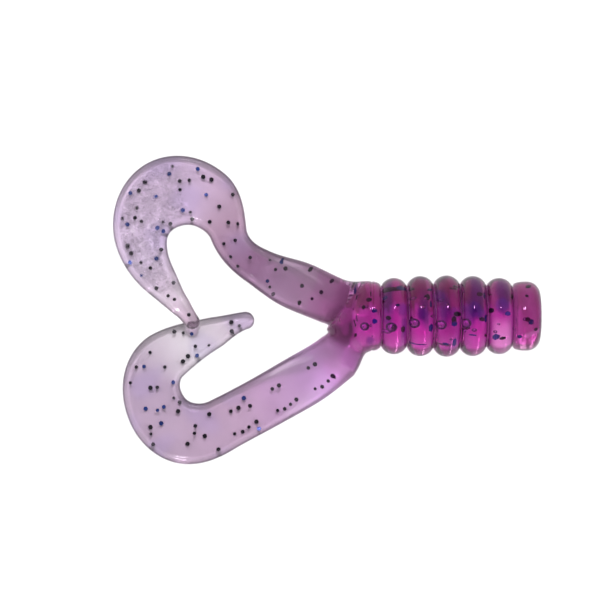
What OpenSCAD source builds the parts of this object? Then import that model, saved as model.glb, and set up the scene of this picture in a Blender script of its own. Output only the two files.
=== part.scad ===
// Twin-tail soft-plastic grub: a ribbed round body that forks into two flat curly tails.
// +X runs forward out of the nose, +Y is the lure's left, +Z is up, and the origin is the
// centre of the nose face. The lure lies on a flat surface that touches its fattest rib.
// The real body is one moulding. It is cut here at the places where it flexes, and each cut
// leaves a narrow wedge so that rigid segments can turn as the soft plastic does.

/* [Body] */
// Radius of the fattest rib
body_r = 5.7; // [5.2:0.05:6.2]
// How much thinner the first and last ribs are than the fattest
barrel = 0.35; // [0:0.05:0.8]
// Distance from one rib to the next
rib_pitch = 3.68; // [3.4:0.02:4.2]
// Depth of the grooves between ribs
groove = 1.2; // [0.5:0.05:1.4]
// Length of the smooth nose
nose_l = 3.9; // [3:0.1:5]
// Radius of the smooth nose
nose_r = 4.85; // [4.4:0.05:5.2]
// Rounding at the front of the nose, which leaves the flat face inside it
nose_round = 1.85; // [1:0.05:2.4]
// Length of the collar behind the last rib
collar_l = 4.3; // [3.6:0.1:5]
// Radius of the collar
collar_r = 4.85; // [4.4:0.05:5.2]

/* [Tails] */
// Thickness of a tail where it leaves the fork
root_t = 5; // [4:0.1:5.6]
// Thickness of the thin ribbon
ribbon_t = 1.4; // [1.1:0.05:2]
// Distance over which the root thins down to the ribbon
thinning = 5; // [3:0.5:8]
// Height of the root's middle below the body's axis
root_drop = 1.2; // [0.6:0.1:1.6]
// Distance over which a tail sinks to the surface
sinking = 12; // [9:0.5:16]
// How far the left tip is lifted to lie over the right tail
tip_lift = 1.65; // [1.6:0.05:2.4]

/* [Flexing] */
// Bend each way at a body groove, in degrees
groove_bend = 7; // [4:0.5:7]
// Outward swing of a tail at its root, in degrees
swing_out = 12; // [6:1:12]
// Inward swing of a tail at its root, in degrees
swing_in = 2; // [0:0.5:2]
// Gap where a ribbon flaps
flap_gap = 0.5; // [0.4:0.05:0.8]

/* [Glitter] */
// Width of a flake across its corners
flake_w = 0.64; // [0.4:0.02:0.8]
// Thickness of a flake
flake_t = 0.08; // [0.06:0.01:0.1]

/* [Hidden] */
rib_count = 5;
running_gap = 0.1;
collar_groove = 0.35;
fork_x = -nose_l - rib_count * rib_pitch - collar_l;
floor_z = -body_r;
$fn = 64;

// Share of a tail's thickness taken by its rounded edges
edge_round = 0.48;
// How far the fork's arms reach under the collar
arm_reach = 3.2;

// A tail is [start x, y and heading], [reach to the left, reach to the right] there, outer
// side, lift of the tip, and a chain of arcs along it. Each arc is [length, turn to the left
// in degrees, reach to the left and reach to the right at its far end].
left_tail = [
    [-29.2, 2.2, 158], [3.4, 3.4], -1, tip_lift,
    [[5.6, 2, 3.3, 3.7], [6.2, -14, 2.5, 2.85], [6, -40, 3, 2.3], [5, 42, 3.6, 4.8],
     [6, 56, 3.7, 6.4], [6.2, 62, 3.1, 4.6], [6.4, 38, 2.8, 2.4], [5.4, 10, 1.7, 1.2],
     [2.4, -4, 1.1, 1.1]]];
right_tail = [
    [-28.2, -5.6, 219], [3.5, 3.5], 1, 0,
    [[6, -8, 3.8, 3.8], [6.4, -2, 3.8, 3.75], [7, -2, 3.9, 3.8], [5.4, -42, 4.9, 4],
     [6.6, -60, 4.1, 4.2], [6.6, -68, 3.75, 3.7], [8, -16, 1.8, 2.6],
     [4.4, -10, 1.25, 1.25]]];

plum = "mediumvioletred";
mauve = "thistle";

// A tail's fields by name
function start_of(tail) = tail[0];
function outer_side(tail) = tail[2];
function lift_of(tail) = tail[3];
function arcs_of(tail) = tail[4];
function arc_length(tail, i) = arcs_of(tail)[i][0];
// Reach to one side of the path after arc i: side 0 is the left, side 1 the right
function reach_after(tail, i, side) = i < 0 ? tail[1][side] : arcs_of(tail)[i][2 + side];

// Position and heading a fraction f along arc i, reached from the arc before it
function along(tail, i, f) =
    let (from = i == 0 ? start_of(tail) : along(tail, i - 1, 1),
         turn = arcs_of(tail)[i][1] * f,
         bow = turn == 0 ? 1 : sin(turn / 2) / (turn / 2 * PI / 180),
         chord = arc_length(tail, i) * f * bow,
         way = from[2] + turn / 2)
    [from[0] + chord * cos(way), from[1] + chord * sin(way), from[2] + turn];

// Distance from the fork to a fraction f along arc i
function travelled(tail, i, f) =
    i < 0 ? 0 : travelled(tail, i - 1, 1) + arc_length(tail, i) * f;

// Reach a fraction f along arc i, as one smooth curve through the reaches at the arcs' ends
function reach_at(tail, i, f, side) =
    let (last = len(arcs_of(tail)) - 1,
         r0 = reach_after(tail, max(i - 2, -1), side),
         r1 = reach_after(tail, i - 1, side),
         r2 = reach_after(tail, i, side),
         r3 = reach_after(tail, min(i + 1, last), side))
    0.5 * (2 * r1 + (r2 - r0) * f + (2 * r0 - 5 * r1 + 4 * r2 - r3) * f * f
        + (3 * r1 - r0 - 3 * r2 + r3) * f * f * f);
function width_at(tail, i, f) = reach_at(tail, i, f, 0) + reach_at(tail, i, f, 1);
function middle_at(tail, i, f) = (reach_at(tail, i, f, 0) - reach_at(tail, i, f, 1)) / 2;

function ease(x) = let (c = min(max(x, 0), 1)) c * c * (3 - 2 * c);
function thickness_at(s) = ribbon_t + (root_t - ribbon_t) * exp(-s / thinning);

// Height of a tail's middle: it sinks to the surface, and the left tip is lifted again
function height_at(tail, s) =
    let (lying = floor_z + thickness_at(s) / 2,
         sunk = ease(s / sinking),
         lift_from = travelled(tail, len(arcs_of(tail)) - 3, 1),
         lift = lift_of(tail) * ease((s - lift_from) / arc_length(tail, len(arcs_of(tail)) - 2)))
    (1 - sunk) * -root_drop + sunk * lying + lift;

// One rounded cross-section of 16 points, CCW as seen from the tail's tip
function section(w, t) =
    let (r = edge_round * min(w, t))
    [for (c = [0 : 3]) for (a = [0 : 30 : 90])
        let (sx = (c == 0 || c == 3) ? 1 : -1, sz = c < 2 ? 1 : -1)
        [sx * (w / 2 - r) + r * cos(c * 90 + a), sz * (t / 2 - r) + r * sin(c * 90 + a)]];

// A section of width w and thickness t placed across the tail, advanced along it.
// Lean slides its outer edge further along.
function placed(tail, i, f, w, t, advance = 0, lean = 0) =
    let (p = along(tail, i, f), z = height_at(tail, travelled(tail, i, f)),
         middle = middle_at(tail, i, f))
    [for (q = section(w, t))
        let (shift = advance + outer_side(tail) * q[0] * lean, across = q[0] + middle)
        [p[0] - across * sin(p[2]) + shift * cos(p[2]),
         p[1] + across * cos(p[2]) + shift * sin(p[2]),
         z + q[1]]];

// The tail's own section at a fraction f along arc i
function ring(tail, i, f, advance = 0, lean = 0) =
    placed(tail, i, f, width_at(tail, i, f), thickness_at(travelled(tail, i, f)), advance, lean);

module skin_between(rings) {
    n = len(rings[0]);
    last = len(rings) - 1;
    polyhedron(
        [for (r = rings) each r],
        [[for (j = [0 : n - 1]) j],
         [for (j = [n - 1 : -1 : 0]) last * n + j],
         for (a = [0 : n : (last - 1) * n]) for (j = [0 : n - 1])
             [a + j, a + n + j, a + n + (j + 1) % n],
         for (a = [0 : n : (last - 1) * n]) for (j = [0 : n - 1])
             [a + j, a + n + (j + 1) % n, a + (j + 1) % n]],
        convexity = 6);
}

// A plain stretch of ribbon along arc i, cut back squarely where it flaps
module stretch(tail, i, gap_before = 0, gap_after = 0) {
    steps = 6;
    skin_between([
        ring(tail, i, 0, gap_before / 2),
        for (k = [1 : steps - 1]) ring(tail, i, k / steps),
        ring(tail, i, 1, -gap_after / 2)]);
}

// The first stretch, whose front face leans so that the tail can swing outwards
module root(tail) {
    half_open = (swing_out + swing_in) / 2;
    lean = tan((swing_out - swing_in) / 2);
    advance = width_at(tail, 0, 0) / 2 * tan(half_open) + running_gap;
    skin_between([
        ring(tail, 0, 0, advance, lean),
        for (f = [0.28 : 0.12 : 0.88]) ring(tail, 0, f),
        ring(tail, 0, 1, -flap_gap / 2)]);
}

// The last stretch, closed by a rounded tip
module tip(tail, gap_before = 0) {
    i = len(arcs_of(tail)) - 1;
    w = width_at(tail, i, 1);
    t = thickness_at(travelled(tail, i, 1));
    steps = 5;
    skin_between([
        ring(tail, i, 0, gap_before / 2),
        for (k = [1 : steps]) ring(tail, i, k / steps),
        for (a = [22 : 20 : 82])
            placed(tail, i, 1, w * cos(a), t * (0.4 + 0.6 * cos(a)), w / 2 * sin(a))]);
}

// A solid of revolution about the X axis between two X positions.
// Its crest is one arc, and relief cones let the next rib tilt.
module ring_rib(x0, x1, crest, depth, relief0 = 0, relief1 = 0) {
    half = (x1 - x0) / 2;
    arc_r = (half * half + depth * depth) / (2 * depth);
    h0 = relief0 > 0 ? running_gap / 2 : 0;
    h1 = relief1 > 0 ? running_gap / 2 : 0;
    translate([x0, 0, 0])
        rotate([0, 90, 0])
            rotate_extrude()
                intersection() {
                    polygon([[0, h0], [crest + 1, h0 + (crest + 1) * tan(relief0)],
                        [crest + 1, 2 * half - h1 - (crest + 1) * tan(relief1)],
                        [0, 2 * half - h1]]);
                    union() {
                        square([crest - depth, 2 * half]);
                        intersection() {
                            translate([crest - arc_r, half]) circle(r = arc_r);
                            translate([crest - depth - 0.01, 0]) square([depth + 1, 2 * half]);
                        }
                    }
                }
}

function rib_front(k) = -nose_l - (k - 1) * rib_pitch;
function crest_of(k) = body_r - barrel * pow((k - 3) / 2, 2);
relief = groove_bend / 2 + 0.2;

module rib(k) {
    color(plum)
        ring_rib(rib_front(k + 1), rib_front(k), crest_of(k), groove, relief, k == 1 ? 0 : relief);
}

module nose() {
    rear_r = 0.6;
    color(plum)
        rotate([0, -90, 0])
            rotate_extrude() {
                square([nose_r - nose_round, nose_l]);
                translate([0, nose_round]) square([nose_r, nose_l - nose_round - rear_r]);
                translate([nose_r - nose_round, nose_round]) circle(r = nose_round);
                translate([0, nose_l - rear_r]) square([nose_r - rear_r, rear_r]);
                intersection() {
                    translate([nose_r - rear_r, nose_l - rear_r]) circle(r = rear_r);
                    square([nose_r, nose_l]);
                }
            }
}

module rib_1() rib(1);
module rib_2() rib(2);
module rib_3() rib(3);
module rib_4() rib(4);
module rib_5() rib(5);

module collar_solid() ring_rib(fork_x, fork_x + collar_l, collar_r, collar_groove, 0, relief);
module collar() color(plum) collar_solid();

// One arm of the fork, from the collar to a tail's root
module fork_arm(tail) {
    p = start_of(tail);
    hull() {
        translate([fork_x, 0, 0])
            rotate([0, 90, 0]) cylinder(r = collar_r - collar_groove, h = arm_reach, $fn = 40);
        translate([p[0], p[1], -root_drop])
            rotate([90, 0, p[2] + 90])
                linear_extrude(0.02) polygon(section(width_at(tail, 0, 0), root_t));
    }
}

module fork() {
    color(plum)
        difference() {
            union() {
                fork_arm(left_tail);
                fork_arm(right_tail);
            }
            collar_solid();
            translate([fork_x + collar_l / 2, 0, 0])
                rotate([0, 90, 0]) cylinder(r = collar_r - collar_groove, h = collar_l);
        }
}

module left_root() color(plum) root(left_tail);
module left_stem() color(mauve) stretch(left_tail, 1, flap_gap, 0);
module left_waist() color(mauve) stretch(left_tail, 2, 0, flap_gap);
module left_shoulder() color(mauve) stretch(left_tail, 3, flap_gap, 0);
module left_crown() color(mauve) stretch(left_tail, 4, 0, flap_gap);
module left_sweep() color(mauve) stretch(left_tail, 5, flap_gap, 0);
module left_hook() color(mauve) stretch(left_tail, 6, 0, flap_gap);
module left_finger() color(mauve) stretch(left_tail, 7, flap_gap, 0);
module left_tip() color(mauve) tip(left_tail);

module right_root() color(plum) root(right_tail);
module right_stem() color(mauve) stretch(right_tail, 1, flap_gap, 0);
module right_reach() color(mauve) stretch(right_tail, 2, 0, flap_gap);
module right_bend() color(mauve) stretch(right_tail, 3, flap_gap, 0);
module right_crown() color(mauve) stretch(right_tail, 4);
module right_sweep() color(mauve) stretch(right_tail, 5);
module right_hook() color(mauve) stretch(right_tail, 6, 0, flap_gap);
module right_tip() color(mauve) tip(right_tail, flap_gap);

// Glitter is six-sided film, scattered unevenly by a sequence of squares
function spread(j, ratio) = let (x = j * j * ratio) x - floor(x);

module flake(j) {
    share = 0.75 + 0.4 * spread(j, 0.443);
    translate([0, 0, -flake_t / 2]) cylinder(r = flake_w / 2 * share, h = flake_t, $fn = 6);
}

// Flakes in the round body between two X positions
module body_flakes(x0, x1, outer_r, count, seed) {
    for (j = [seed : seed + count - 1])
        translate([x0 + (x1 - x0) * (0.5 + 0.6 * (spread(j, 0.618) - 0.5)), 0, 0])
            rotate([360 * spread(j, 0.7549), 0, 0])
                translate([0, 0, outer_r - 0.5 - 1.2 * spread(j, 0.5698)])
                    rotate([60 * (spread(j, 0.819) - 0.5), 60 * (spread(j, 0.671) - 0.5), 30])
                        flake(j);
}

// Flakes in the ribbon along arc i
module ribbon_flakes(tail, i, count, seed) {
    for (j = [seed : seed + count - 1]) {
        f = 0.5 + 0.7 * (spread(j, 0.618) - 0.5);
        p = along(tail, i, f);
        s = travelled(tail, i, f);
        across = (spread(j, 0.7549) - 0.5) * (width_at(tail, i, f) - 1.6) + middle_at(tail, i, f);
        rise = (spread(j, 0.5698) - 0.5) * (thickness_at(s) - 0.8);
        translate([p[0] - across * sin(p[2]), p[1] + across * cos(p[2]), height_at(tail, s) + rise])
            rotate([36 * (spread(j, 0.819) - 0.5), 36 * (spread(j, 0.671) - 0.5), 60 * spread(j, 0.549)])
                flake(j);
    }
}

module rib_flakes(k, count, seed) {
    body_flakes(rib_front(k + 1), rib_front(k), crest_of(k) - groove, count, seed);
}

module collar_flakes(count, seed) {
    body_flakes(fork_x, fork_x + collar_l, collar_r - collar_groove, count, seed);
}

module nose_flakes(count, seed) body_flakes(-nose_l, 0, nose_r - 0.6, count, seed);

module black_flakes_head() color("black") {
    nose_flakes(4, 2);
    rib_flakes(1, 5, 14);
}
module black_flakes_rib_2() color("black") rib_flakes(2, 6, 29);
module black_flakes_rib_3() color("black") rib_flakes(3, 6, 41);
module black_flakes_rib_4() color("black") rib_flakes(4, 6, 54);
module black_flakes_rib_5() color("black") rib_flakes(5, 6, 66);
module black_flakes_fork() color("black") collar_flakes(7, 79);
module black_flakes_left_root() color("black") ribbon_flakes(left_tail, 0, 6, 29);
module black_flakes_left_stem() color("black") {
    ribbon_flakes(left_tail, 1, 5, 4);
    ribbon_flakes(left_tail, 2, 5, 20);
}
module black_flakes_left_crown() color("black") {
    ribbon_flakes(left_tail, 3, 5, 29);
    ribbon_flakes(left_tail, 4, 8, 4);
}
module black_flakes_left_hook() color("black") {
    ribbon_flakes(left_tail, 5, 8, 4);
    ribbon_flakes(left_tail, 6, 5, 6);
}
module black_flakes_left_tip() color("black") {
    ribbon_flakes(left_tail, 7, 4, 7);
    ribbon_flakes(left_tail, 8, 1, 1);
}
module black_flakes_right_root() color("black") ribbon_flakes(right_tail, 0, 6, 24);
module black_flakes_right_stem() color("black") {
    ribbon_flakes(right_tail, 1, 6, 24);
    ribbon_flakes(right_tail, 2, 7, 24);
}
module black_flakes_right_curl() color("black") {
    ribbon_flakes(right_tail, 3, 6, 9);
    ribbon_flakes(right_tail, 4, 6, 2);
    ribbon_flakes(right_tail, 5, 6, 19);
    ribbon_flakes(right_tail, 6, 6, 4);
}
module black_flakes_right_tip() color("black") ribbon_flakes(right_tail, 7, 3, 2);

module blue_flakes_head() color("royalblue") {
    nose_flakes(2, 92);
    rib_flakes(1, 3, 132);
}
module blue_flakes_rib_2() color("royalblue") rib_flakes(2, 4, 118);
module blue_flakes_rib_3() color("royalblue") rib_flakes(3, 4, 138);
module blue_flakes_rib_4() color("royalblue") rib_flakes(4, 4, 146);
module blue_flakes_rib_5() color("royalblue") rib_flakes(5, 3, 162);
module blue_flakes_fork() color("royalblue") collar_flakes(3, 170);
module blue_flakes_left_stem() color("royalblue") ribbon_flakes(left_tail, 1, 2, 1);
module blue_flakes_left_crown() color("royalblue") ribbon_flakes(left_tail, 4, 4, 37);
module blue_flakes_left_hook() color("royalblue") {
    ribbon_flakes(left_tail, 5, 5, 37);
    ribbon_flakes(left_tail, 6, 3, 2);
}
module blue_flakes_right_stem() color("royalblue") ribbon_flakes(right_tail, 2, 2, 6);
module blue_flakes_right_curl() color("royalblue") {
    ribbon_flakes(right_tail, 4, 4, 10);
    ribbon_flakes(right_tail, 5, 2, 1);
    ribbon_flakes(right_tail, 6, 2, 1);
}

nose();
rib_1();
rib_2();
rib_3();
rib_4();
rib_5();
collar();
fork();
left_root();
left_stem();
left_waist();
left_shoulder();
left_crown();
left_sweep();
left_hook();
left_finger();
left_tip();
right_root();
right_stem();
right_reach();
right_bend();
right_crown();
right_sweep();
right_hook();
right_tip();
black_flakes_head();
black_flakes_rib_2();
black_flakes_rib_3();
black_flakes_rib_4();
black_flakes_rib_5();
black_flakes_fork();
black_flakes_left_root();
black_flakes_left_stem();
black_flakes_left_crown();
black_flakes_left_hook();
black_flakes_left_tip();
black_flakes_right_root();
black_flakes_right_stem();
black_flakes_right_curl();
black_flakes_right_tip();
blue_flakes_head();
blue_flakes_rib_2();
blue_flakes_rib_3();
blue_flakes_rib_4();
blue_flakes_rib_5();
blue_flakes_fork();
blue_flakes_left_stem();
blue_flakes_left_crown();
blue_flakes_left_hook();
blue_flakes_right_stem();
blue_flakes_right_curl();
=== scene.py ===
import math

import bpy
import numpy as np
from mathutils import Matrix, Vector


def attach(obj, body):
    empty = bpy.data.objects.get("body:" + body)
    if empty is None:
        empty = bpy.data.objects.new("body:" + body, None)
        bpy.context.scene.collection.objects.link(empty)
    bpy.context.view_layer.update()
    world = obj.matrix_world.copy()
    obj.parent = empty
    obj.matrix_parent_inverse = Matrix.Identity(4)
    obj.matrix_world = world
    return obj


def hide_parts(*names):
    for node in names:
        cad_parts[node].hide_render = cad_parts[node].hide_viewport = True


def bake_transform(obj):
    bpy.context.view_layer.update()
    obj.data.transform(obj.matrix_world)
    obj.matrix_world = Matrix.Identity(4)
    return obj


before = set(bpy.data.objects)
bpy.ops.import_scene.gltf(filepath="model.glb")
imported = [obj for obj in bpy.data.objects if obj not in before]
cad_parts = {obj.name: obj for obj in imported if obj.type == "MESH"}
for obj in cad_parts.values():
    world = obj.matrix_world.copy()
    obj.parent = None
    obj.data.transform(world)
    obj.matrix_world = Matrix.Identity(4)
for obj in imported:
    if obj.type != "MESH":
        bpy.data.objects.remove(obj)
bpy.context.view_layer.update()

# Sizes are in millimetres, as in the CAD, until a mesh is made
millimetre = 0.001
around = 128      # points in every ring of the skin
farInside = 3.0   # what a point of the body is told, because it lies far from any edge


# The ribbed body, made by geometry nodes
ribbedBody = {
    "Nose Length": 3.9,
    "Nose Radius": 4.85,
    "Nose Rounding": 1.85,   # leaves a flat face in the middle
    "Rib Pitch": 3.68,
    "Crest Radius": 5.7,     # of the middle rib
    "Barrel": 0.35,          # the end ribs are this much smaller
    "Groove Depth": 1.2,
    "Collar Radius": 4.8,
    "Collar Rise": 0.42,     # last bulge before the tails part
}
ribCount = 5
ribRings = 18
branchX = -23.6


def addNode(tree, kind, **values):
    node = tree.nodes.new(kind)
    for name, value in values.items():
        setattr(node, name, value)
    return node


def maths(tree, operation, *inputs, clamp=False):
    node = addNode(tree, "ShaderNodeMath", operation=operation, use_clamp=clamp)
    for socket, value in zip(node.inputs, inputs):
        if isinstance(value, (int, float)):
            socket.default_value = value
        else:
            tree.links.new(value, socket)
    return node.outputs[0]


def newGeometryTree(name, inputs):
    tree = bpy.data.node_groups.new(name, "GeometryNodeTree")
    tree.interface.new_socket("Geometry", in_out="INPUT", socket_type="NodeSocketGeometry")
    for label, value in inputs.items():
        kind = "NodeSocketInt" if isinstance(value, int) else "NodeSocketFloat"
        if isinstance(value, bpy.types.Material):
            kind = "NodeSocketMaterial"
        socket = tree.interface.new_socket(label, in_out="INPUT", socket_type=kind)
        if not isinstance(value, bpy.types.Material):
            socket.default_value = value
    tree.interface.new_socket("Geometry", in_out="OUTPUT", socket_type="NodeSocketGeometry")
    return tree, tree.nodes.new("NodeGroupInput"), tree.nodes.new("NodeGroupOutput")


def bakeTree(name, tree, inputs):
    # Runs the tree once and keeps its result as a plain mesh
    holder = bpy.data.objects.new(name, bpy.data.meshes.new(name + "Seed"))
    bpy.context.scene.collection.objects.link(holder)
    modifier = holder.modifiers.new("build", "NODES")
    modifier.node_group = tree
    for item in tree.interface.items_tree:
        if item.item_type == "SOCKET" and item.in_out == "INPUT" and item.name in inputs:
            modifier[item.identifier] = inputs[item.name]
    bpy.context.view_layer.update()
    graph = bpy.context.evaluated_depsgraph_get()
    result = bpy.data.meshes.new_from_object(holder.evaluated_get(graph))
    bpy.data.objects.remove(holder)
    return result


def buildRibbedBodyTree(material):
    # A line down the middle, swept by a circle whose radius follows the rib rule
    tree, given, out = newGeometryTree("ribbedBody", {**ribbedBody, "Skin": material})
    size = {s.name: s for s in given.outputs}
    noseSteps, noseBack, collarSteps = 10, 10, 10
    noseDip, collarLength = 0.42, 1.3
    total = noseSteps + noseBack + ribCount * ribRings + collarSteps
    line = addNode(tree, "GeometryNodeCurvePrimitiveLine")
    line.inputs["End"].default_value = (-1, 0, 0)
    dense = addNode(tree, "GeometryNodeResampleCurve")
    dense.inputs["Count"].default_value = total + 1
    tree.links.new(line.outputs[0], dense.inputs["Curve"])
    index = addNode(tree, "GeometryNodeInputIndex").outputs[0]

    def between(low, high):
        above = maths(tree, "GREATER_THAN", index, low - 0.5)
        below = maths(tree, "LESS_THAN", index, high - 0.5)
        return maths(tree, "MULTIPLY", above, below)

    # Rounded rim of the nose: a quarter turn
    turn = maths(tree, "MULTIPLY", maths(tree, "DIVIDE", index, noseSteps, clamp=True), math.pi / 2)
    rounding = size["Nose Rounding"]
    noseX = maths(tree, "MULTIPLY", rounding, maths(tree, "SUBTRACT", 1, maths(tree, "COSINE", turn)))
    noseFlat = maths(tree, "SUBTRACT", size["Nose Radius"], rounding)
    noseR = maths(tree, "ADD", noseFlat, maths(tree, "MULTIPLY", rounding, maths(tree, "SINE", turn)))
    # Straight side of the nose, dipping into the first groove
    side = maths(tree, "DIVIDE", maths(tree, "SUBTRACT", index, noseSteps), noseBack, clamp=True)
    sideX = maths(tree, "MULTIPLY", side, maths(tree, "SUBTRACT", size["Nose Length"], rounding))
    dip = maths(tree, "MULTIPLY", maths(tree, "POWER", side, 3), noseDip)
    # Ribs: arcs placed by a cosine spacing, so that rings crowd into the grooves
    step = maths(tree, "SUBTRACT", index, noseSteps + noseBack)
    ribIndex = maths(tree, "MINIMUM", maths(tree, "MAXIMUM", maths(tree, "FLOOR",
        maths(tree, "DIVIDE", step, ribRings)), 0), ribCount - 1)
    within = maths(tree, "DIVIDE", maths(tree, "SUBTRACT", step,
        maths(tree, "MULTIPLY", ribIndex, ribRings)), ribRings, clamp=True)
    phase = maths(tree, "MULTIPLY", within, math.pi)
    share = maths(tree, "MULTIPLY", maths(tree, "SUBTRACT", 1, maths(tree, "COSINE", phase)), 0.5)
    ribX = maths(tree, "MULTIPLY", maths(tree, "ADD", ribIndex, share), size["Rib Pitch"])
    offMiddle = maths(tree, "MULTIPLY", maths(tree, "SUBTRACT", ribIndex, 2), 0.5)
    crest = maths(tree, "SUBTRACT", size["Crest Radius"], maths(tree, "MULTIPLY", size["Barrel"],
        maths(tree, "MULTIPLY", offMiddle, offMiddle)))
    # Each bulge is one arc that spans a pitch and rises by the groove's depth
    halfPitch = maths(tree, "MULTIPLY", size["Rib Pitch"], 0.5)
    depth = size["Groove Depth"]
    arc = maths(tree, "DIVIDE", maths(tree, "ADD", maths(tree, "MULTIPLY", halfPitch, halfPitch),
        maths(tree, "MULTIPLY", depth, depth)), maths(tree, "MULTIPLY", depth, 2))
    across = maths(tree, "MULTIPLY", halfPitch,
        maths(tree, "SUBTRACT", maths(tree, "MULTIPLY", share, 2), 1))
    bulge = maths(tree, "SQRT", maths(tree, "SUBTRACT", maths(tree, "MULTIPLY", arc, arc),
        maths(tree, "MULTIPLY", across, across)))
    ribR = maths(tree, "ADD", maths(tree, "SUBTRACT", crest, arc), bulge)
    # Collar: a last, lower bulge that runs on into the fork. 0.91 is about the sine of 2.
    last = maths(tree, "DIVIDE", maths(tree, "SUBTRACT", step, ribCount * ribRings), collarSteps, clamp=True)
    collarX = maths(tree, "MULTIPLY", last, collarLength)
    collarR = maths(tree, "MULTIPLY", size["Collar Rise"], maths(tree, "SUBTRACT", maths(tree, "SINE",
        maths(tree, "MULTIPLY", last, 2.0)), 0.91))
    endR = maths(tree, "ADD", size["Collar Radius"], collarR)

    isNose = between(-1, noseSteps + 1)
    isSide = between(noseSteps + 1, noseSteps + noseBack)
    isRib = between(noseSteps + noseBack, noseSteps + noseBack + ribCount * ribRings + 1)
    isEnd = between(noseSteps + noseBack + ribCount * ribRings + 1, total + 2)

    def choose(*pairs):
        parts = [maths(tree, "MULTIPLY", mask, value) for mask, value in pairs]
        value = parts[0]
        for part in parts[1:]:
            value = maths(tree, "ADD", value, part)
        return value

    ribsFrom = size["Nose Length"]
    ribsTo = maths(tree, "ADD", ribsFrom, maths(tree, "MULTIPLY", size["Rib Pitch"], ribCount))
    depthX = choose((isNose, noseX), (isSide, maths(tree, "ADD", rounding, sideX)),
        (isRib, maths(tree, "ADD", ribsFrom, ribX)), (isEnd, maths(tree, "ADD", ribsTo, collarX)))
    radius = choose((isNose, noseR), (isSide, maths(tree, "SUBTRACT", size["Nose Radius"], dip)),
        (isRib, ribR), (isEnd, endR))
    place = addNode(tree, "ShaderNodeCombineXYZ")
    tree.links.new(maths(tree, "MULTIPLY", depthX, -1), place.inputs[0])
    move = addNode(tree, "GeometryNodeSetPosition")
    tree.links.new(dense.outputs[0], move.inputs["Geometry"])
    tree.links.new(place.outputs[0], move.inputs["Position"])
    circle = addNode(tree, "GeometryNodeCurvePrimitiveCircle")
    circle.inputs["Resolution"].default_value = around
    circle.inputs["Radius"].default_value = 1
    sweep = addNode(tree, "GeometryNodeCurveToMesh")
    grow = addNode(tree, "GeometryNodeSetCurveRadius")
    tree.links.new(move.outputs[0], grow.inputs["Curve"])
    tree.links.new(radius, grow.inputs["Radius"])
    tree.links.new(grow.outputs[0], sweep.inputs["Curve"])
    read = addNode(tree, "GeometryNodeInputRadius")
    tree.links.new(read.outputs[0], sweep.inputs["Scale"])
    tree.links.new(circle.outputs[0], sweep.inputs["Profile Curve"])
    real = addNode(tree, "GeometryNodeRealizeInstances")
    paint = addNode(tree, "GeometryNodeSetMaterial")
    tree.links.new(sweep.outputs[0], real.inputs[0])
    tree.links.new(real.outputs[0], paint.inputs["Geometry"])
    tree.links.new(size["Skin"], paint.inputs["Material"])
    tree.links.new(paint.outputs[0], out.inputs[0])
    return tree


def ringsOfBody(material):
    mesh = bakeTree("ribbedBody", buildRibbedBodyTree(material), {**ribbedBody, "Skin": material})
    points = np.zeros(len(mesh.vertices) * 3)
    mesh.vertices.foreach_get("co", points)
    points = points.reshape(-1, around, 3)
    # Every ring is put in one order: from the top, round by the left tail's side
    middle, reach = points[:, 0, 0], np.hypot(points[:, 0, 1], points[:, 0, 2])
    turn = np.arange(around) / around * 2 * math.pi
    rings = np.stack([np.repeat(middle[:, None], around, 1),
        reach[:, None] * np.sin(turn), reach[:, None] * np.cos(turn)], -1)
    return rings


# The two curly tails. Each arc is its length, its turn and the ribbon's reach to left and right.
leftTail = {
    "start": (-29.2, 2.2, 158), "reach": (3.4, 3.4), "outer": -1, "tipLift": 1.65,
    "arcs": [(5.6, 2, 3.3, 3.7), (6.2, -14, 2.5, 2.85), (6, -40, 3, 2.3), (5, 42, 3.6, 4.8),
        (6, 56, 3.7, 6.4), (6.2, 62, 3.1, 4.6), (6.4, 38, 2.8, 2.4), (5.4, 10, 1.7, 1.2),
        (2.4, -4, 1.1, 1.1)],
}
rightTail = {
    "start": (-28.2, -5.6, 219), "reach": (3.5, 3.5), "outer": 1, "tipLift": 0,
    "arcs": [(6, -8, 3.8, 3.8), (6.4, -2, 3.8, 3.75), (7, -2, 3.9, 3.8), (5.4, -42, 4.9, 4),
        (6.6, -60, 4.1, 4.2), (6.6, -68, 3.75, 3.7), (8, -16, 1.8, 2.6),
        (4.4, -10, 1.25, 1.25)],
}
ribbon = {
    "rootThickness": 5, "thickness": 1.4, "thinning": 5, "rootDrop": 1.2, "sinking": 12,
    "floor": -5.7, "edgeRound": 0.48,
    "ringSpacing": 0.3,
    "rimWidth": 0.75,        # a bead along each edge of the flat ribbon
    "webThinning": 0.34,     # how much thinner the ribbon is between the beads
    "ripple": 0.06,          # height of the slow waves across the ribbon
}


def ease(x):
    x = np.clip(x, 0, 1)
    return x * x * (3 - 2 * x)


def nodeAt(tail, i):
    x, y, heading = tail["start"]
    for length, turn, left, right in tail["arcs"][:i]:
        half = math.radians(turn / 2)
        chord = length * (math.sin(half) / half if turn else 1)
        way = math.radians(heading + turn / 2)
        x, y, heading = x + chord * math.cos(way), y + chord * math.sin(way), heading + turn
    return x, y, heading


def tailLengths(tail):
    return np.concatenate([[0], np.cumsum([a[0] for a in tail["arcs"]])])


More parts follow.
